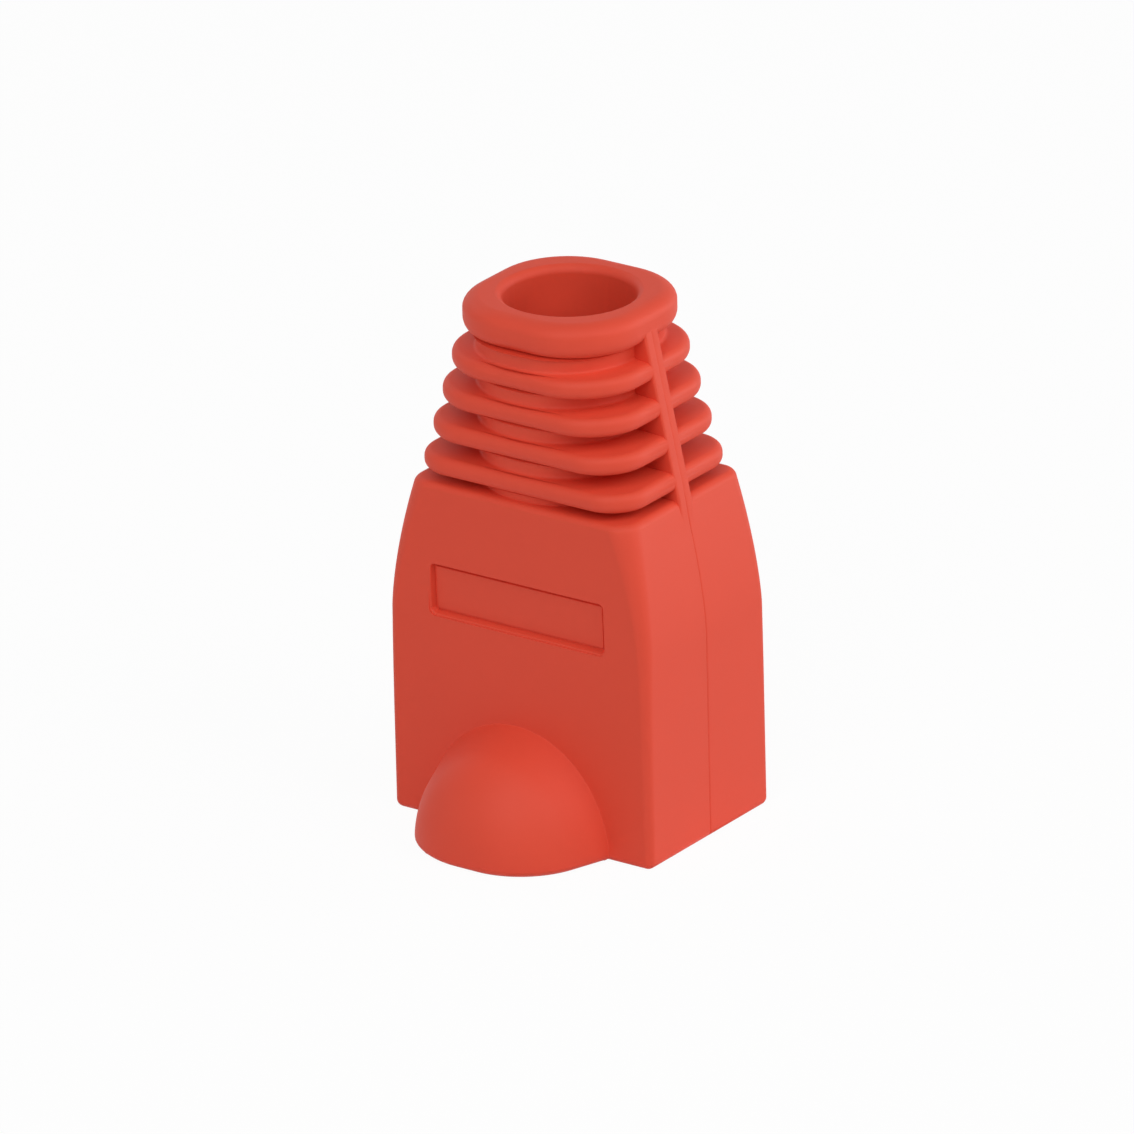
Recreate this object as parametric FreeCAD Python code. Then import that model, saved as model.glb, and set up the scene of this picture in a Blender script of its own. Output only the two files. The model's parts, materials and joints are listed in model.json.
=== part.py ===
import FreeCAD, Part
import math
import os

from FreeCAD import Vector

# Strain relief boot for an RJ45 (8P8C) patch cord, one soft plastic moulding.
# It stands on the mouth that slips over the plug, with the cable leaving upwards.
# The origin is the centre of the mouth on the cable axis.  +Z runs along the cable,
# X is the wide direction and the plug's latch faces -Y.  Lengths are in millimetres.

# Housing that slips over the plug
WIDTH = 14.4
MOUTH_DEPTH = 9.6
TOP_DEPTH = 9.2
HOUSING_TOP = 16.4
SHOULDER_START = 10.3
SHOULDER_RADIUS = 13.0
SHOULDER_LEAN_DEG = 13.0
CORNER_RADIUS = 0.6
TOP_EDGE_RADIUS = 0.4

# Cavity for the plug body, narrowing to the cable
CAVITY_WIDTH = 11.9
CAVITY_DEPTH = 8.0
CAVITY_TOP = 12.3
CAVITY_CORNER = 0.8
FUNNEL_RADIUS = 3.9
FUNNEL_TOP = 14.6

# Oval core of the neck and the bore for the cable
CABLE_BORE = 6.1
BORE_ENTRY = 0.3
CORE_HALF_WIDTH = 3.95
CORE_HALF_DEPTH = 4.4
CORE_CORNER = 3.75
CORE_TAPER = 0.15

# Rib plates, from the lowest to the highest
RIB_COUNT = 4
RIB_FIRST_Z = 17.28
RIB_PITCH = 1.71
RIB_THICKNESS = 0.96
RIB_NOSE = 0.38
RIB_NOSE_STEPS = 2
RIB_HALF_WIDTHS = (5.98, 4.86)
RIB_HALF_DEPTHS = (4.6, 4.66)
RIB_CORNERS = (1.94, 3.3)

# Lip around the cable exit
LIP_BOTTOM = 23.45
LIP_TOP = 25.3
LIP_HALF_SIZE = 4.5
LIP_CORNER = 3.55
LIP_NOSE = 0.6
LIP_NOSE_STEPS = 3

# Web that ties the ribs together on each narrow side
WEB_THICKNESS = 1.0
WEB_SET_BACK = 0.04
WEB_FOOT = 15.2
WEB_ROOT_X = 3.6

# Domed cover over the latch: drafted sides rounded over into a small flat
DOME_REACH = 4.45
DOME_HEIGHT = 5.5
DOME_FLAT_RADIUS = 0.64
DOME_ROUNDING = 4.0
DOME_DRAFT_DEG = 19.3
LATCH_ROOM_RADIUS = 3.6
LATCH_ROOM_INSET = 0.2

# Blank label recess on the latch side
LABEL_WIDTH = 9.3
LABEL_BOTTOM = 10.1
LABEL_TOP = 12.4
LABEL_SINK = 0.3
LABEL_BEVEL = 0.15

# Working amounts: how far pieces run into or past each other, and the rise of a level edge
OVERLAP = 0.5
PAST = 1.0
LEVEL = 0.01


def between(pair, share):
    """Value part of the way from the first of a pair to the second."""
    return pair[0] + (pair[1] - pair[0]) * share


def rounded_rectangle(half_width, half_depth, corner, z):
    """Closed wire of four arcs joined by four lines in the plane at height z."""
    flat_x = half_width - corner
    flat_y = half_depth - corner
    diagonal = corner * math.sqrt(0.5)
    arcs = []
    for sign_x, sign_y in ((1, 1), (-1, 1), (-1, -1), (1, -1)):
        centre = Vector(sign_x * flat_x, sign_y * flat_y, z)
        side = centre + Vector(sign_x * corner, 0, 0)
        middle = centre + Vector(sign_x * diagonal, sign_y * diagonal, 0)
        face = centre + Vector(0, sign_y * corner, 0)
        ends = (side, face) if sign_x * sign_y > 0 else (face, side)
        arcs.append(Part.Arc(ends[0], middle, ends[1]).toShape())
    edges = []
    for index, arc in enumerate(arcs):
        following = arcs[(index + 1) % 4]
        start = arc.valueAt(arc.LastParameter)
        end = following.valueAt(following.FirstParameter)
        edges.append(arc)
        edges.append(Part.makeLine(start, end))
    return Part.Wire(edges)


def shoulder_outline(mirror):
    """Side of the housing from the front, as points (x, z) from foot to top."""
    lean = math.radians(SHOULDER_LEAN_DEG)
    points = [(WIDTH / 2, 0.0), (WIDTH / 2, SHOULDER_START)]
    for angle in (lean / 2, lean):
        inset = SHOULDER_RADIUS * (1 - math.cos(angle))
        points.append((WIDTH / 2 - inset, SHOULDER_START + SHOULDER_RADIUS * math.sin(angle)))
    last_x, last_z = points[-1]
    points.append((last_x - (HOUSING_TOP - last_z) * math.tan(lean), HOUSING_TOP))
    return [Vector(mirror * x, 0, z) for x, z in points]


def make_housing():
    """Housing outside: the front and side outlines cut from each other."""
    right = shoulder_outline(1)
    left = shoulder_outline(-1)
    front = [
        Part.makeLine(left[0], right[0]),
        Part.makeLine(right[0], right[1]),
        Part.Arc(right[1], right[2], right[3]).toShape(),
        Part.makeLine(right[3], right[4]),
        Part.makeLine(right[4], left[4]),
        Part.makeLine(left[4], left[3]),
        Part.Arc(left[3], left[2], left[1]).toShape(),
        Part.makeLine(left[1], left[0]),
    ]
    wide = Part.Face(Part.Wire(front)).extrude(Vector(0, 2 * MOUTH_DEPTH, 0))
    wide.translate(Vector(0, -MOUTH_DEPTH, 0))
    half = MOUTH_DEPTH / 2
    half_top = TOP_DEPTH / 2
    side = [(-half, 0), (half, 0), (half, SHOULDER_START), (half_top, HOUSING_TOP)]
    side += [(-half_top, HOUSING_TOP), (-half, SHOULDER_START)]
    side = [Vector(-WIDTH, y, z) for y, z in side]
    deep = Part.Face(Part.makePolygon(side + side[:1])).extrude(Vector(2 * WIDTH, 0, 0))
    housing = wide.common(deep)
    corners = [edge for edge in housing.Edges if edge.BoundBox.ZLength > LEVEL]
    housing = housing.makeFillet(CORNER_RADIUS, corners)
    rim = [edge for edge in housing.Edges if edge.BoundBox.ZMin > HOUSING_TOP - LEVEL]
    return housing.makeFillet(TOP_EDGE_RADIUS, rim)


def face_lean(z):
    """Half depth of the housing at height z."""
    share = max(z - SHOULDER_START, 0.0) / (HOUSING_TOP - SHOULDER_START)
    return between((MOUTH_DEPTH / 2, TOP_DEPTH / 2), share)


def make_dome():
    """Half of a turned dome standing on the mouth plane, stretched a little in height."""
    draft = math.radians(DOME_DRAFT_DEG)
    middle = DOME_REACH - DOME_ROUNDING
    flat_edge = Vector(DOME_FLAT_RADIUS, -DOME_REACH, 0)
    halfway = (math.pi / 2 + draft) / 2
    arc_points = [flat_edge]
    for angle in (halfway, draft):
        across = DOME_FLAT_RADIUS + DOME_ROUNDING * math.cos(angle)
        arc_points.append(Vector(across, -middle - DOME_ROUNDING * math.sin(angle), 0))
    side_top = arc_points[-1]
    base_radius = side_top.x + (OVERLAP - side_top.y) * math.tan(draft)
    base_edge = Vector(base_radius, OVERLAP, 0)
    base_centre = Vector(0, OVERLAP, 0)
    tip = Vector(0, -DOME_REACH, 0)
    profile = [
        Part.makeLine(base_centre, base_edge),
        Part.makeLine(base_edge, side_top),
        Part.Arc(side_top, arc_points[1], flat_edge).toShape(),
        Part.makeLine(flat_edge, tip),
        Part.makeLine(tip, base_centre),
    ]
    dome = Part.Face(Part.Wire(profile)).revolve(Vector(0, 0, 0), Vector(0, 1, 0), 360)
    face_radius = side_top.x - side_top.y * math.tan(draft)
    stretch = FreeCAD.Matrix()
    stretch.scale(1, 1, DOME_HEIGHT / face_radius)
    dome = dome.transformGeometry(stretch)
    dome.translate(Vector(0, -MOUTH_DEPTH / 2, 0))
    reach = 2 * WIDTH
    return dome.cut(Part.makeBox(reach, reach, reach, Vector(-WIDTH, -WIDTH, -reach)))


def nose_profile(bottom, top, nose, steps):
    """Levels (inset, z) of a plate whose edge is rounded below and above."""
    lower = []
    upper = []
    for step in range(steps + 1):
        angle = math.pi / 2 * step / steps
        inset = nose * (1 - math.sin(angle))
        rise = nose * (1 - math.cos(angle))
        lower.append((inset, bottom + rise))
        upper.insert(0, (inset, top - rise))
    return lower + upper


def stack(half_width, half_depth, corner, levels):
    """Solid through one outline, drawn in by each level's inset."""
    sections = []
    for inset, z in levels:
        sections.append(rounded_rectangle(half_width - inset, half_depth - inset, corner - inset, z))
    return Part.makeLoft(sections, True, True)


def make_rib(index):
    """Rib plate with a rounded rim; higher ribs are narrower and rounder."""
    share = index / (RIB_COUNT - 1)
    bottom = RIB_FIRST_Z + RIB_PITCH * index - RIB_THICKNESS / 2
    half_width = between(RIB_HALF_WIDTHS, share)
    half_depth = between(RIB_HALF_DEPTHS, share)
    levels = nose_profile(bottom, bottom + RIB_THICKNESS, RIB_NOSE, RIB_NOSE_STEPS)
    return stack(half_width, half_depth, between(RIB_CORNERS, share), levels)


def make_web(side):
    """Upright web level with the rib faces, sunk into the shoulder at its foot."""
    run = RIB_PITCH * (RIB_COUNT - 1)
    slope = (RIB_HALF_WIDTHS[1] - RIB_HALF_WIDTHS[0]) / run
    top_z = LIP_BOTTOM + LIP_NOSE
    face_x = RIB_HALF_WIDTHS[0] - WEB_SET_BACK
    top_x = face_x + slope * (top_z - RIB_FIRST_Z)
    high_x = face_x + slope * (HOUSING_TOP - RIB_FIRST_Z)
    outline = [(WEB_ROOT_X, WEB_FOOT), (high_x, WEB_FOOT), (high_x, HOUSING_TOP)]
    outline += [(top_x, top_z), (WEB_ROOT_X, top_z)]
    points = [Vector(side * x, -WEB_THICKNESS / 2, z) for x, z in outline]
    return Part.Face(Part.makePolygon(points + points[:1])).extrude(Vector(0, WEB_THICKNESS, 0))


def make_neck():
    """Oval core with rib plates, the lip and a web on each narrow side."""
    core_levels = [(0.0, HOUSING_TOP - OVERLAP), (CORE_TAPER, LIP_BOTTOM + OVERLAP)]
    core = stack(CORE_HALF_WIDTH, CORE_HALF_DEPTH, CORE_CORNER, core_levels)
    pieces = [make_web(-1), make_web(1)]
    for index in range(RIB_COUNT):
        pieces.append(make_rib(index))
    lip_levels = nose_profile(LIP_BOTTOM, LIP_TOP, LIP_NOSE, LIP_NOSE_STEPS)
    pieces.append(stack(LIP_HALF_SIZE, LIP_HALF_SIZE, LIP_CORNER, lip_levels))
    return core.multiFuse(pieces)


def make_label_recess():
    """Shallow pocket with bevelled walls, following the lean of the face."""
    rings = []
    for sink in (-LABEL_BEVEL, LABEL_SINK):
        spread = LABEL_BEVEL * (LABEL_SINK - sink) / LABEL_SINK
        half = LABEL_WIDTH / 2 + spread
        low_z = LABEL_BOTTOM - spread
        high_z = LABEL_TOP + spread
        low_y = sink - face_lean(LABEL_BOTTOM)
        high_y = sink - face_lean(LABEL_TOP)
        low_side = [Vector(-half, low_y, low_z), Vector(half, low_y, low_z)]
        points = low_side + [Vector(half, high_y, high_z), Vector(-half, high_y, high_z)]
        rings.append(Part.makePolygon(points + points[:1]))
    return Part.makeLoft(rings, True, True)


def make_inside():
    """Plug cavity, funnel, cable bore with a flared exit, and room for the latch."""
    radius = CABLE_BORE / 2
    mouth = rounded_rectangle(CAVITY_WIDTH / 2, CAVITY_DEPTH / 2, CAVITY_CORNER, -PAST)
    cavity = Part.Face(mouth).extrude(Vector(0, 0, CAVITY_TOP + PAST))
    funnel = Part.makeCone(FUNNEL_RADIUS, radius, FUNNEL_TOP - CAVITY_TOP, Vector(0, 0, CAVITY_TOP))
    bore = Part.makeCylinder(radius, LIP_TOP + PAST - CAVITY_TOP, Vector(0, 0, CAVITY_TOP))
    entry_foot = Vector(0, 0, LIP_TOP - BORE_ENTRY)
    flare = Part.makeCone(radius, radius + 2 * BORE_ENTRY, 2 * BORE_ENTRY, entry_foot)
    latch_room = Part.makeSphere(LATCH_ROOM_RADIUS, Vector(0, LATCH_ROOM_INSET - MOUTH_DEPTH / 2, 0))
    return cavity.multiFuse([funnel, bore, flare, latch_room])


def make_boot():
    """The whole moulding as one solid."""
    boot = make_housing().multiFuse([make_dome(), make_neck()])
    boot = boot.cut(make_label_recess())
    return boot.cut(make_inside())


os.makedirs("parts", exist_ok=True)
boot = make_boot()
boot.exportStep("parts/boot.step")
print("solids", len(boot.Solids), "valid", boot.isValid(), "volume", round(boot.Volume, 1))
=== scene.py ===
import json
import math

import bmesh
import bpy
from mathutils import Matrix, Vector


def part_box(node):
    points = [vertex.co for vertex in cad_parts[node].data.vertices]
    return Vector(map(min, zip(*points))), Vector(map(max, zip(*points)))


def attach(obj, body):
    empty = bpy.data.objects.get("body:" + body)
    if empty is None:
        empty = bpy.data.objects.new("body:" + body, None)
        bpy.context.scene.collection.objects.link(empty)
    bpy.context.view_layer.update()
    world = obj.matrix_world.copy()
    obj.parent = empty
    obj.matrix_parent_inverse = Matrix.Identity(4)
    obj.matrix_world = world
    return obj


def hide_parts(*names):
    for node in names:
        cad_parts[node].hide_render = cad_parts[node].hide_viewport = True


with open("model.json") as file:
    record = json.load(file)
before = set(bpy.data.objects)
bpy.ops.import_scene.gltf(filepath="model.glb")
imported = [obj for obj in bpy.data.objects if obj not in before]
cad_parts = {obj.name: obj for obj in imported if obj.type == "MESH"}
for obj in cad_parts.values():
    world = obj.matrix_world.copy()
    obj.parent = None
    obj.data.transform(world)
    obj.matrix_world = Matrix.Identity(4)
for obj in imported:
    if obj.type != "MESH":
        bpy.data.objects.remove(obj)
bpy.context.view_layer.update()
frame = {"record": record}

# ---------------------------------------------------------------------------------------------
# Boot outside: housing, ribbed neck and lip.  Soft PVC, injection moulded in one shot in a
# two-plate mould.  Drawn here as one closed skin through rounded outlines from the mouth to
# the lip, so that every groove, rib and edge runs smoothly into the next.
# ---------------------------------------------------------------------------------------------
MM = 0.001
CORNER_STEPS = 14
EDGE_STEPS = 6
GROOVE_STEPS = 4
LIP_STEPS = 9
LEAST_CORNER = 0.06
CUT_WITHIN = 1e-5
TOUCHING = 1e-4

low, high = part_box("boot")
HALF_WIDTH = high.x / MM
HALF_DEPTH = high.y / MM
DOME_REACH = (high.y - low.y) / MM - 2 * HALF_DEPTH
TOP = high.z / MM
mounts = {mount["name"]: mount for mount in frame["record"]["mounts"]}
BORE_RADIUS = mounts["cable_bore"]["dims"]["r_mm"]

HOUSING_TOP = 16.42
SHOULDER_START = 10.0
SHOULDER_INSET = 1.1
SHOULDER_POWER = 1.59
FACE_INSET = 0.2
FRONT_CORNER = (0.42, 1.15)
BACK_CORNER = (0.5, 0.85)
CORNER_POWER = 3.5
MOUTH_EDGE = 0.12
FOOT_EDGE = 0.35
TOP_EDGE = 0.3
TOP_CROWN = 0.02

CORE_WIDTH = (3.85, 3.9)
CORE_DEPTH = (4.2, 4.42)
CORE_CORNER = (3.6, 3.6)
CORE_POWER = 3
GROOVE_FILLET = 0.16
FOOT_GROOVE_FILLET = 0.05
RIB_COUNT = 4
RIB_FIRST_Z = 17.28
RIB_PITCH = 1.71
RIB_HALF_THICKNESS = 0.46
RIB_DRAFT = 0.05
RIB_NOSE = (0.38, 0.4)
RIB_WIDTH = (5.98, 4.86)
RIB_DEPTH = (4.58, 4.66)
RIB_CORNER = (1.9, 3.2)

LIP_BOTTOM = 23.7
LIP_HALF = 4.5
LIP_CORNER = 3.55
LIP_UNDER = (0.5, 0.62)
LIP_OVER = (0.8, 0.62)

PARTING_HALF = 0.075
PARTING_SINK = 0.05
PARTING_FROM = 6
SEATING = 0.004


def between(pair, share):
    return pair[0] + (pair[1] - pair[0]) * share


def quarter(steps):
    """Sine and cosine at even steps through a right angle."""
    angles = [math.pi / 2 * step / steps for step in range(steps + 1)]
    return [(math.sin(angle), math.cos(angle)) for angle in angles]


def new_piece(name):
    """Empty mesh object, open in edit mode."""
    bpy.ops.object.select_all(action="DESELECT")
    piece = bpy.data.objects.new(name, bpy.data.meshes.new(name))
    bpy.context.collection.objects.link(piece)
    bpy.context.view_layer.objects.active = piece
    piece.select_set(True)
    bpy.ops.object.mode_set(mode="EDIT")
    bpy.ops.mesh.select_mode(type="VERT")
    return piece


def close_piece(piece):
    bpy.ops.mesh.select_all(action="SELECT")
    bpy.ops.mesh.normals_make_consistent(inside=False)
    bpy.ops.object.mode_set(mode="OBJECT")
    return piece


def select_where(wanted):
    """Of what is in view in the open mesh, select the vertices whose place is wanted."""
    mesh = bmesh.from_edit_mesh(bpy.context.object.data)
    for vertex in mesh.verts:
        vertex.select = not vertex.hide and wanted(vertex.co)
    mesh.select_flush_mode()


def select_open_rims():
    """Select the edges in the open mesh that have one face or none."""
    bpy.ops.mesh.select_all(action="DESELECT")
    bpy.ops.mesh.select_non_manifold(use_multi_face=False, use_non_contiguous=False, use_verts=False)


def draw_outline(half_x, half_y, corners, z):
    """Plate with rounded corners, the front pair and the back pair, selected, in the open mesh."""
    bpy.ops.mesh.primitive_plane_add(size=2, location=(0, 0, z))
    bpy.ops.mesh.hide(unselected=True)
    bpy.ops.transform.resize(value=(half_x, half_y, 1))
    for side, corner in zip((-1, 1), corners):
        select_where(lambda place: place.y * side > 0)
        bpy.ops.mesh.bevel(offset=corner, segments=CORNER_STEPS, affect="VERTICES")
    bpy.ops.mesh.select_all(action="SELECT")
    bpy.ops.mesh.reveal(select=False)


def stack(name, levels):
    """Closed skin through outlines (half x, half y, corner, z), each bridged to the one before."""
    piece = new_piece(name)
    draw_outline(*levels[0])
    for level in levels[1:]:
        draw_outline(*level)
        bpy.ops.mesh.delete(type="ONLY_FACE")
        select_open_rims()
        bpy.ops.mesh.bridge_edge_loops()
    select_open_rims()
    bpy.ops.mesh.edge_face_add()
    return close_piece(piece)


def inset(outline, amount, z):
    """The same outline drawn in all round by an amount."""
    half_x, half_y, corners = outline
    return half_x - amount, half_y - amount, [max(corner - amount, LEAST_CORNER) for corner in corners], z


def housing_outline(z):
    rise = max(z - SHOULDER_START, 0) / (HOUSING_TOP - SHOULDER_START)
    half_x = HALF_WIDTH - SHOULDER_INSET * rise ** SHOULDER_POWER
    half_y = HALF_DEPTH - FACE_INSET * rise
    growth = (z / HOUSING_TOP) ** CORNER_POWER
    return half_x, half_y, (between(FRONT_CORNER, growth), between(BACK_CORNER, growth))


def core_outline(z):
    share = (z - HOUSING_TOP) / (LIP_BOTTOM - HOUSING_TOP)
    growth = share ** CORE_POWER
    return between(CORE_WIDTH, growth), between(CORE_DEPTH, share), [between(CORE_CORNER, growth)] * 2


def groove(bottom, top, fillet):
    """Levels up the core from one flat to the next, with a fillet at each end."""
    levels = []
    for rise, run in quarter(GROOVE_STEPS):
        z = bottom + fillet * (1 - run)
        levels.append(inset(core_outline(z), -fillet * (1 - rise), z))
    for rise, run in reversed(quarter(GROOVE_STEPS)):
        z = top - fillet * (1 - run)
        levels.append(inset(core_outline(z), -fillet * (1 - rise), z))
    return levels


def nose(outline, bottom, top, under, over, steps):
    """Levels round the edge of a plate; under and over are the rounding's sizes across and up."""
    levels = []
    for rise, run in quarter(steps):
        levels.append(inset(outline, under[0] * (1 - rise), bottom + under[1] * (1 - run)))
    for rise, run in reversed(quarter(steps)):
        levels.append(inset(outline, over[0] * (1 - rise), top - over[1] * (1 - run)))
    return levels


def rib_outline(index):
    share = index / (RIB_COUNT - 1)
    return between(RIB_WIDTH, share), between(RIB_DEPTH, share), [between(RIB_CORNER, share)] * 2


# The skin starts below the mouth and is cut level with it later
BELOW_MOUTH = 1
WALL_LEVELS = (2.5, 5, 7, 8.5, SHOULDER_START)
SHOULDER_STEPS = 16

foot = quarter(EDGE_STEPS)[1:]
levels = [inset(housing_outline(0), FOOT_EDGE * (1 - foot[0][0]), -BELOW_MOUTH)]
for rise, run in foot:
    levels.append(inset(housing_outline(0), FOOT_EDGE * (1 - rise), FOOT_EDGE * (1 - run)))
for z in WALL_LEVELS:
    levels.append((*housing_outline(z), z))
for step in range(1, SHOULDER_STEPS + 1):
    z = between((SHOULDER_START, HOUSING_TOP - TOP_EDGE), step / SHOULDER_STEPS)
    levels.append((*housing_outline(z), z))
for rise, run in quarter(EDGE_STEPS)[1:]:
    z = HOUSING_TOP - TOP_EDGE * (1 - rise)
    levels.append(inset(housing_outline(z), TOP_EDGE * (1 - run), z))
flat = HOUSING_TOP + TOP_CROWN
for index in range(RIB_COUNT):
    middle = RIB_FIRST_Z + RIB_PITCH * index
    bottom, top = middle - RIB_HALF_THICKNESS, middle + RIB_HALF_THICKNESS
    fillet = GROOVE_FILLET if index else FOOT_GROOVE_FILLET
    levels += groove(flat, bottom - RIB_DRAFT, fillet)
    levels += nose(rib_outline(index), bottom, top, RIB_NOSE, RIB_NOSE, EDGE_STEPS)
    flat = top + RIB_DRAFT
levels += groove(flat, LIP_BOTTOM - RIB_DRAFT, GROOVE_FILLET)
levels += nose((LIP_HALF, LIP_HALF, [LIP_CORNER] * 2), LIP_BOTTOM, TOP, LIP_UNDER, LIP_OVER, LIP_STEPS)
boot = stack("boot_moulding", levels)


def press_parting_line(wanted):
    """Cut three lines down the middle of the narrow sides and sink the middle one."""
    for y in (-PARTING_HALF, 0, PARTING_HALF):
        bpy.ops.mesh.select_all(action="SELECT")
        bpy.ops.mesh.bisect(plane_co=(0, y, 0), plane_no=(0, 1, 0), threshold=CUT_WITHIN)
    select_where(lambda place: abs(place.y) < TOUCHING and wanted(place))
    bpy.ops.transform.resize(value=(1 - PARTING_SINK / HALF_WIDTH, 1, 1), center_override=(0, 0, 0))


bpy.ops.object.mode_set(mode="EDIT")
press_parting_line(lambda place: abs(place.x) > PARTING_FROM and place.z < HOUSING_TOP)
bpy.ops.object.mode_set(mode="OBJECT")

# ---------------------------------------------------------------------------------------------
# Domed cover for the plug's latch, on the front of the housing at the mouth.  Part of the same
# moulding: a profile with a drafted side and a round shoulder, turned about the line that comes
# straight out of the face and stretched in height, with a small fillet where it meets the face.
# ---------------------------------------------------------------------------------------------
DOME_HEIGHT = 5.62
DOME_MIDDLE_X = -0.12
DOME_FLAT_RADIUS = 0.64
DOME_ROUNDING = 4.0
DOME_DRAFT = math.radians(19.3)
DOME_FILLET = 0.06
DOME_ROOT = 1
DOME_TURNS = 96
SHOULDER_ARC_STEPS = 20
FILLET_STEPS = 5

# Half profile (distance from the axis, distance in front of the face), from the flat to the face
middle = DOME_REACH - DOME_ROUNDING
profile = []
for step in range(SHOULDER_ARC_STEPS + 1):
    angle = between((math.pi / 2, DOME_DRAFT), step / SHOULDER_ARC_STEPS)
    across = DOME_FLAT_RADIUS + DOME_ROUNDING * math.cos(angle)
    profile.append((across, middle + DOME_ROUNDING * math.sin(angle)))
tangent_radius, tangent_depth = profile[-1]
face_radius = tangent_radius + tangent_depth * math.tan(DOME_DRAFT)
fillet_turn = math.pi / 2 - DOME_DRAFT
fillet_radius = face_radius + DOME_FILLET * math.tan(fillet_turn / 2)
for step in range(FILLET_STEPS + 1):
    angle = fillet_turn * (1 - step / FILLET_STEPS)
    profile.append((fillet_radius - DOME_FILLET * math.sin(angle), DOME_FILLET * (1 - math.cos(angle))))
profile.append((fillet_radius, -DOME_ROOT))

front = -HALF_DEPTH
dome = new_piece("dome")
bpy.ops.mesh.primitive_plane_add(size=2, location=(0, 0, 0))
bpy.ops.mesh.merge(type="CENTER")
bpy.ops.transform.translate(value=(DOME_FLAT_RADIUS, 0, 0))
for start, end in zip(profile, profile[1:]):
    move = (end[0] - start[0], start[1] - end[1], 0)
    bpy.ops.mesh.extrude_vertices_move(TRANSFORM_OT_translate={"value": move})
bpy.ops.mesh.select_all(action="SELECT")
bpy.ops.mesh.spin(steps=DOME_TURNS, angle=2 * math.pi, center=(0, 0, 0), axis=(0, 1, 0), use_auto_merge=True)
bpy.ops.mesh.select_all(action="SELECT")
bpy.ops.mesh.remove_doubles(threshold=TOUCHING)
for end in (0, DOME_REACH + DOME_ROOT):
    select_where(lambda place: abs(place.y - end) < TOUCHING)
    bpy.ops.mesh.edge_face_add()
bpy.ops.mesh.select_all(action="SELECT")
bpy.ops.transform.resize(value=(1, 1, DOME_HEIGHT / fillet_radius), center_override=(0, 0, 0))
bpy.ops.transform.translate(value=(DOME_MIDDLE_X, front - DOME_REACH + SEATING, 0))
for rise, run in reversed(foot):
    bpy.ops.mesh.select_all(action="SELECT")
    bpy.ops.mesh.bisect(plane_co=(0, 0, FOOT_EDGE * (1 - run)), plane_no=(0, 0, 1), threshold=CUT_WITHIN)
narrow = 1 - FOOT_EDGE / fillet_radius
select_where(lambda place: place.z < TOUCHING)
bpy.ops.transform.resize(
    value=(narrow, narrow, 1),
    center_override=(DOME_MIDDLE_X, front, 0),
    use_proportional_edit=True,
    proportional_edit_falloff="SHARP",
    proportional_size=FOOT_EDGE,
)
close_piece(dome)

# ---------------------------------------------------------------------------------------------
# Webs that tie the ribs together, one down the middle of each narrow side of the neck.  They
# keep the neck from bending sideways.  Part of the moulding: each runs level with the rib faces
# from the lip down, carries the line of the mould halves and fades into the shoulder.
# ---------------------------------------------------------------------------------------------
WEB_HALF_THICKNESS = 0.5
WEB_PROUD = 0.03
WEB_EDGE = 0.12
WEB_ROOT = 3.5
WEB_REACH = 4
WEB_FADE = 15.2
WEB_FOOT = 1.8
WEB_INTO_LIP = 1.2

rib_lean = (RIB_WIDTH[0] - RIB_WIDTH[1]) / (RIB_PITCH * (RIB_COUNT - 1))
web_face = RIB_WIDTH[0] + WEB_PROUD + rib_lean * (RIB_FIRST_Z - HOUSING_TOP)
foot_lean = (housing_outline(WEB_FADE)[0] - web_face) / (HOUSING_TOP - WEB_FADE)
web_bottom = HOUSING_TOP - WEB_FOOT
web_height = LIP_BOTTOM + WEB_INTO_LIP * LIP_UNDER[1] - web_bottom
outside_root = WEB_ROOT + 0.1

webs = []
for side in (-1, 1):
    web = new_piece("web")
    centre = (side * (WEB_ROOT + WEB_REACH / 2), 0, web_bottom + web_height / 2)
    bpy.ops.mesh.primitive_cube_add(size=1, location=centre)
    bpy.ops.transform.resize(value=(WEB_REACH, 2 * WEB_HALF_THICKNESS, web_height))
    for lean in (rib_lean, foot_lean):
        bpy.ops.mesh.select_all(action="SELECT")
        bpy.ops.mesh.bisect(
            plane_co=(side * web_face, 0, HOUSING_TOP),
            plane_no=(side, 0, lean),
            clear_outer=True,
            use_fill=True,
            threshold=CUT_WITHIN,
        )
    press_parting_line(lambda place: abs(place.x) > outside_root)
    for edge_side in (-1, 1):
        at = edge_side * WEB_HALF_THICKNESS
        select_where(lambda place: abs(place.y - at) < TOUCHING and abs(place.x) > outside_root)
        bpy.ops.mesh.bevel(offset=WEB_EDGE, segments=4, affect="EDGES")
    webs.append(close_piece(web))

# ---------------------------------------------------------------------------------------------
# Blank recess for a label, sunk into the front of the housing above the dome.  Pressed into
# the face by a raised pad in the mould, so its sides are drafted and its rim is rounded over.
# ---------------------------------------------------------------------------------------------
LABEL_HALF_WIDTH = 4.74
LABEL_HALF_HEIGHT = 1.16
LABEL_MIDDLE_X = 0.02
LABEL_MIDDLE_Z = 11.35
LABEL_SINK = 0.24
LABEL_CORNER = 0.18
LABEL_RIM = 0.12
LABEL_DRAFT = 0.05
# Fine channel round the recess's floor: distance in from the edge and depth, at each bend
LABEL_CHANNEL = ((0.3, 0), (0.14, 0.01), (0.1, 0.1), (0.02, 0.1))
FLARE_END = 80
FLARE_PAST = 0.003


def flare(angle, radius):
    """How far a cutter widens at this angle of its flared end, and how far it still has to go."""
    left = math.sin(math.radians(FLARE_END)) - math.sin(math.radians(angle))
    return radius * (1 - math.cos(math.radians(angle))), radius * left


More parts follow.
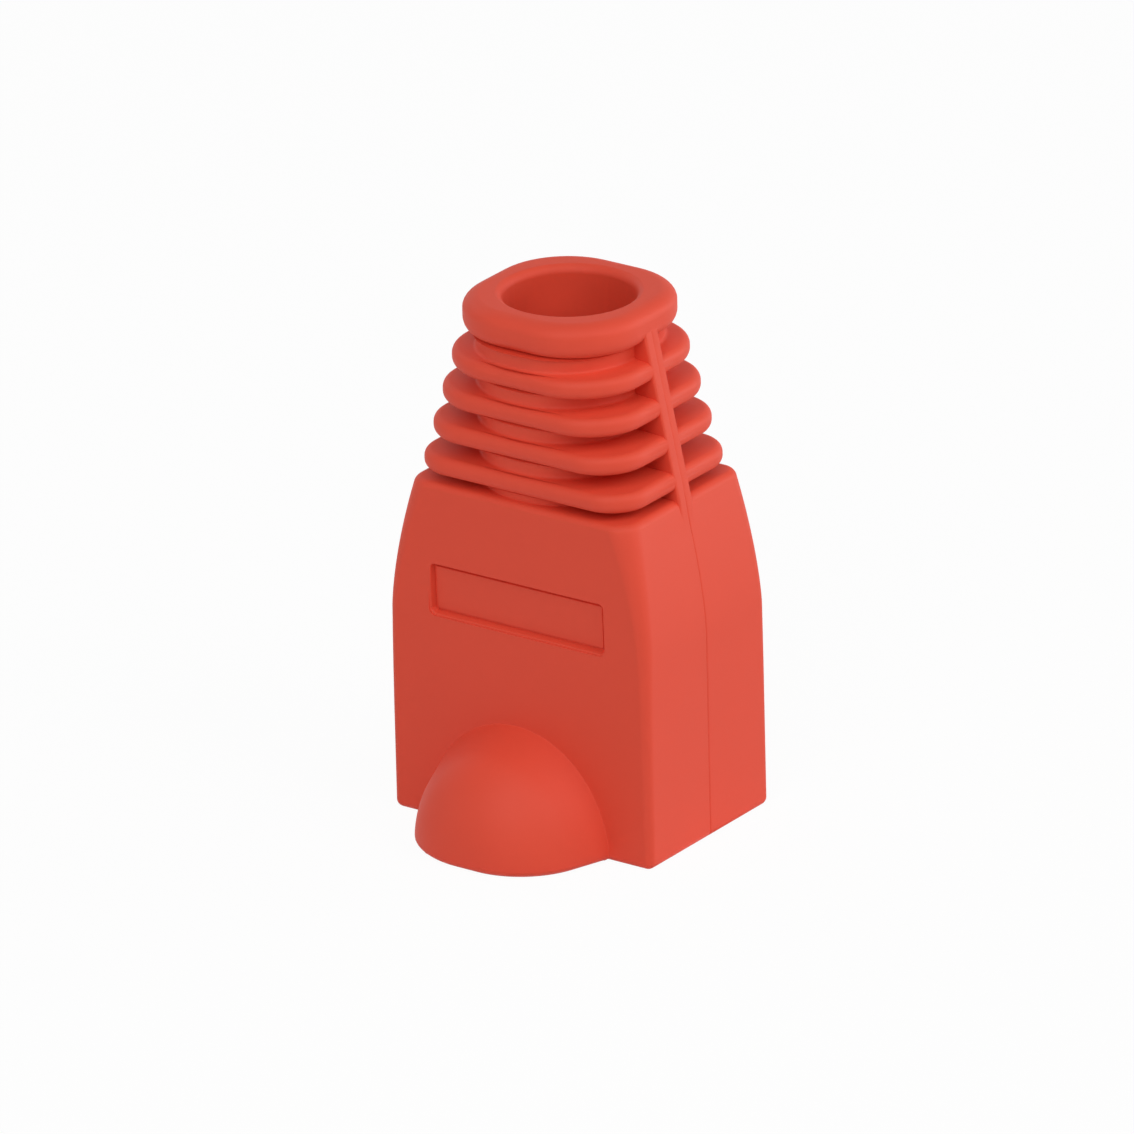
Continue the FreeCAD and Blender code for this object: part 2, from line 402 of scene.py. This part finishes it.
floor_outline = (LABEL_HALF_WIDTH, LABEL_HALF_HEIGHT, [LABEL_CORNER] * 2)
levels = [inset(floor_outline, across, -LABEL_SINK - depth) for across, depth in LABEL_CHANNEL]
for angle in (0, 12, 24, 36, 48, 60, 72, FLARE_END):
    spread, left = flare(angle, LABEL_RIM)
    levels.append(inset(floor_outline, -LABEL_DRAFT - spread, FLARE_PAST - left))
levels.append(inset(floor_outline, -LABEL_DRAFT - spread, 1))
label_pad = stack("label_pad", levels)
bpy.ops.object.mode_set(mode="EDIT")
bpy.ops.mesh.select_all(action="SELECT")
lean = math.atan2(FACE_INSET, HOUSING_TOP - SHOULDER_START)
bpy.ops.transform.rotate(value=-(math.pi / 2 + lean), orient_axis="X", center_override=(0, 0, 0))
place = (LABEL_MIDDLE_X, -housing_outline(LABEL_MIDDLE_Z)[1], LABEL_MIDDLE_Z)
bpy.ops.transform.translate(value=place)
close_piece(label_pad)

# ---------------------------------------------------------------------------------------------
# Inside of the moulding: plug cavity, funnel and cable bore, left by the core pin of the mould,
# and the round hollow under the dome where the plug's latch moves.  The pin is one skin through
# rounded outlines, flared at both ends so that the mouth and the cable exit have soft edges.
# ---------------------------------------------------------------------------------------------
CAVITY = (5.95, 4.0, [0.8] * 2)
CAVITY_TOP = 12.3
CAVITY_FILLET = 0.4
CAVITY_STEPS = 5
FUNNEL_MOUTH = (3.97, 3.6, [3.5] * 2)
FUNNEL_RADIUS = 3.6
FUNNEL_TOP = 14.6
FUNNEL_STEP = 0.01
NEARLY_ALL = 0.99
STRAIGHT_BORE = 3
BORE_ENTRY = 0.42
LATCH_ROOM_RADIUS = 3.6
LATCH_ROOM_INSET = 0.2


def circle(radius):
    """Outline that is round but for a hair, so that its corners stay apart."""
    return radius, radius, [NEARLY_ALL * radius] * 2


levels = [inset(CAVITY, -MOUTH_EDGE, -2 * BELOW_MOUTH)]
for angle in (FLARE_END, 60, 40, 20, 0):
    spread, left = flare(angle, MOUTH_EDGE)
    levels.append(inset(CAVITY, -spread, left - FLARE_PAST))
for rise, run in quarter(CAVITY_STEPS):
    z = CAVITY_TOP - CAVITY_FILLET * (1 - rise)
    levels.append(inset(CAVITY, CAVITY_FILLET * (1 - run), z))
levels.append((*FUNNEL_MOUTH, CAVITY_TOP + FUNNEL_STEP))
for share in (0, 0.25, 0.5, 0.75, 1):
    radius = between((FUNNEL_RADIUS, BORE_RADIUS), share)
    levels.append((*circle(radius), between((CAVITY_TOP + 2 * FUNNEL_STEP, FUNNEL_TOP), share)))
bore = circle(BORE_RADIUS)
levels.append((*bore, TOP - STRAIGHT_BORE))
for angle in (0, 15, 30, 45, 60, 70, FLARE_END):
    spread, left = flare(angle, BORE_ENTRY)
    levels.append(inset(bore, -spread, TOP + FLARE_PAST - left))
levels.append(inset(bore, -BORE_ENTRY, TOP + 1))
core_pin = stack("core_pin", levels)

latch_room = new_piece("latch_room")
centre = (0, front + LATCH_ROOM_INSET, 0)
bpy.ops.mesh.primitive_uv_sphere_add(segments=64, ring_count=32, radius=LATCH_ROOM_RADIUS, location=centre)
close_piece(latch_room)

# ---------------------------------------------------------------------------------------------
# Finished moulding: the webs and the dome grown into the boot, the label pad and the core pin
# taken out of it, then brought to metres and dressed in satin soft PVC, coloured right through.
# Its faces are smooth, with crisp edges only where the mould has them.
# ---------------------------------------------------------------------------------------------
WELD = 0.002
SMOOTH_BELOW = 40
FLAT_BELOW = 0.15
EVENING = 80

PVC_RED = (0.790, 0.076, 0.038, 1)
PVC_RED_DEEP = (0.750, 0.070, 0.034, 1)
PVC_ROUGHNESS = 0.58
PVC_GLOSS = 0.3
GRAIN_DEPTH = 0.00002


def combine(piece, others, operation):
    """Join pieces to the first, or cut them from it, and take them away."""
    for other in others:
        bpy.ops.object.select_all(action="DESELECT")
        bpy.context.view_layer.objects.active = piece
        piece.select_set(True)
        modifier = piece.modifiers.new("combine", "BOOLEAN")
        modifier.operation = operation
        modifier.solver = "EXACT"
        modifier.object = other
        bpy.ops.object.modifier_apply(modifier=modifier.name)
        bpy.data.objects.remove(other)
        bpy.ops.object.mode_set(mode="EDIT")
        bpy.ops.mesh.select_all(action="SELECT")
        bpy.ops.mesh.remove_doubles(threshold=WELD)
        bpy.ops.object.mode_set(mode="OBJECT")


mouth_plane = new_piece("mouth_plane")
bpy.ops.mesh.primitive_cube_add(size=4 * HALF_WIDTH, location=(0, 0, -2 * HALF_WIDTH))
close_piece(mouth_plane)
combine(boot, [*webs, dome], "UNION")
combine(boot, [mouth_plane, label_pad, core_pin, latch_room], "DIFFERENCE")

bpy.ops.object.select_all(action="DESELECT")
bpy.context.view_layer.objects.active = boot
boot.select_set(True)
bpy.ops.object.mode_set(mode="EDIT")
bpy.ops.mesh.select_all(action="SELECT")
bpy.ops.mesh.dissolve_limited(angle_limit=math.radians(FLAT_BELOW))
bpy.ops.transform.resize(value=(MM, MM, MM), center_override=(0, 0, 0))
bpy.ops.object.mode_set(mode="OBJECT")
bpy.ops.object.shade_smooth_by_angle(angle=math.radians(SMOOTH_BELOW))
weighting = boot.modifiers.new("weighting", "WEIGHTED_NORMAL")
weighting.weight = EVENING
weighting.keep_sharp = True
bpy.ops.object.modifier_apply(modifier=weighting.name)


class Value:
    """A socket in a material, so that shader maths reads as ordinary arithmetic."""

    def __init__(self, tree, socket):
        self.tree = tree
        self.socket = socket

    def node(self, kind, settings=None, **inputs):
        """Add a node, set it up, and link or set its inputs; gives its first enabled output."""
        made = self.tree.nodes.new(kind)
        for name, value in (settings or {}).items():
            setattr(made, name, value)
        for name, value in inputs.items():
            place = int(name[1:]) if name[1:].isdigit() else name.replace("_", " ")
            if isinstance(value, Value):
                self.tree.links.new(value.socket, made.inputs[place])
            else:
                made.inputs[place].default_value = value
        output = next(output for output in made.outputs if output.enabled)
        return Value(self.tree, output)

    def maths(self, operation, first, second):
        return self.node("ShaderNodeMath", {"operation": operation}, i0=first, i1=second)

    def __add__(self, other):
        return self.maths("ADD", self, other)

    __radd__ = __add__

    def __mul__(self, other):
        return self.maths("MULTIPLY", self, other)

    __rmul__ = __mul__


def soft_pvc(name):
    """Satin PVC: one pigment with a faint drift of tone, and the fine grain of an eroded mould."""
    material = bpy.data.materials.new(name)
    material.use_nodes = True
    tree = material.node_tree
    shader = tree.nodes["Principled BSDF"]
    place = Value(tree, tree.nodes.new("ShaderNodeTexCoord").outputs["Object"])
    drift = place.node("ShaderNodeTexNoise", Vector=place, Scale=220, Detail=3, Roughness=0.5)
    grain = place.node("ShaderNodeTexNoise", Vector=place, Scale=5200, Detail=2, Roughness=0.55)
    ripple = place.node("ShaderNodeTexNoise", Vector=place, Scale=900, Detail=2, Roughness=0.5)
    tone = drift * 0.7 + grain * 0.3
    colour = place.node("ShaderNodeMix", {"data_type": "RGBA"}, i0=tone, i6=PVC_RED_DEEP, i7=PVC_RED)
    tree.links.new(colour.socket, shader.inputs["Base Color"])
    roughness = PVC_ROUGHNESS - 0.06 + drift * 0.06 + grain * 0.06
    tree.links.new(roughness.socket, shader.inputs["Roughness"])
    height = ripple * 0.5 + grain * 0.5
    relief = place.node("ShaderNodeBump", Height=height, Strength=0.35, Distance=GRAIN_DEPTH)
    tree.links.new(relief.socket, shader.inputs["Normal"])
    shader.inputs["Specular IOR Level"].default_value = PVC_GLOSS
    return material


boot.data.materials.clear()
boot.data.materials.append(soft_pvc("soft_red_pvc"))
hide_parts("boot")
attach(boot, "root")

# ---------------------------------------------------------------------------------------------
# Studio: a plain white floor and surround, with round soft lamps from the front, above, the right
# and the right back, and weaker ones from the left.  The floor keeps a faint shadow of the boot.
# ---------------------------------------------------------------------------------------------
FLOOR_WHITE = (0.9, 0.9, 0.9, 1)
FLOOR_SHADOW_LEFT = 0.045
SURROUND = 0.12
FLOOR_SIZE = 40
FLOOR_GAP = 0.00001
LAMP_SIZE = 0.3
LAMP_DISTANCE = 0.5


def seen_directly(tree):
    """One for a ray from the camera or off gloss or glass, and nought for the light itself."""
    rays = tree.nodes.new("ShaderNodeLightPath")
    camera, glossy, transmission = (
        Value(tree, rays.outputs[name]) for name in ("Is Camera Ray", "Is Glossy Ray", "Is Transmission Ray")
    )
    return camera.maths("MAXIMUM", camera.maths("MAXIMUM", camera, glossy), transmission)


bpy.ops.object.select_all(action="DESELECT")
bpy.ops.mesh.primitive_plane_add(size=FLOOR_SIZE, location=(0, 0, -FLOOR_GAP))
floor = bpy.context.object
floor.name = "floor"
white = bpy.data.materials.new("floor_white")
white.use_nodes = True
tree = white.node_tree
paint = tree.nodes["Principled BSDF"]
paint.inputs["Base Color"].default_value = FLOOR_WHITE
paint.inputs["Roughness"].default_value = 1.0
paint.inputs["Specular IOR Level"].default_value = 0.0
glow = tree.nodes.new("ShaderNodeEmission")
share = seen_directly(tree) * (1 - FLOOR_SHADOW_LEFT)
blend = tree.nodes.new("ShaderNodeMixShader")
tree.links.new(share.socket, blend.inputs[0])
tree.links.new(paint.outputs[0], blend.inputs[1])
tree.links.new(glow.outputs[0], blend.inputs[2])
tree.links.new(blend.outputs[0], tree.nodes["Material Output"].inputs["Surface"])
floor.data.materials.append(white)

world = bpy.data.worlds.new("surround")
world.use_nodes = True
bpy.context.scene.world = world
tree = world.node_tree
backdrop = tree.nodes["Background"]
backdrop.inputs["Color"].default_value = (1, 1, 1, 1)
strength = SURROUND + seen_directly(tree) * (1 - SURROUND)
tree.links.new(strength.socket, backdrop.inputs["Strength"])


def soft_light(name, azimuth, elevation, power):
    """Round soft lamp that faces the boot, from a direction in degrees."""
    lamp = bpy.data.lights.new(name, "AREA")
    lamp.shape = "DISK"
    lamp.size = LAMP_SIZE
    lamp.energy = power
    holder = bpy.data.objects.new(name, lamp)
    bpy.context.collection.objects.link(holder)
    around = math.radians(azimuth)
    up = math.radians(elevation)
    towards = Vector((math.sin(around) * math.cos(up), -math.cos(around) * math.cos(up), math.sin(up)))
    holder.location = Vector((0, 0, TOP * MM / 2)) + towards * LAMP_DISTANCE
    holder.rotation_euler = towards.to_track_quat("Z", "Y").to_euler()


soft_light("front_lamp", 14, 35, 0.65)
soft_light("top_lamp", 30, 60, 0.45)
soft_light("side_lamp", 90, 38, 0.8)
soft_light("back_right_lamp", 142, 8, 1.0)
soft_light("left_lamp", -50, 12, 0.2)
soft_light("back_left_lamp", -105, 30, 0.2)

# ---------------------------------------------------------------------------------------------
# Camera: a long lens from the front right and a little above, so that the upright edges stay
# nearly parallel.  It is turned by about a degree and a half round its own line of sight.
# ---------------------------------------------------------------------------------------------
AZIMUTH = math.radians(35.77)
ELEVATION = math.radians(22.23)
ROLL = math.radians(-1.42)
DISTANCE = 0.7
LENS = 487.6
SENSOR = 36
AIM = (-0.00052, 0, 0.46 * TOP * MM)

back = Vector((
    math.sin(AZIMUTH) * math.cos(ELEVATION),
    -math.cos(AZIMUTH) * math.cos(ELEVATION),
    math.sin(ELEVATION),
))
right = Vector((math.cos(AZIMUTH), math.sin(AZIMUTH), 0))
turn = Matrix((right, back.cross(right), back)).transposed() @ Matrix.Rotation(ROLL, 3, "Z")
lens = bpy.data.cameras.new("camera")
lens.lens = LENS
lens.sensor_width = SENSOR
lens.clip_start = 0.01
camera = bpy.data.objects.new("camera", lens)
bpy.context.collection.objects.link(camera)
camera.matrix_world = Matrix.Translation(Vector(AIM) + back * DISTANCE) @ turn.to_4x4()
bpy.context.scene.camera = camera
bpy.context.scene.view_settings.view_transform = "Standard"
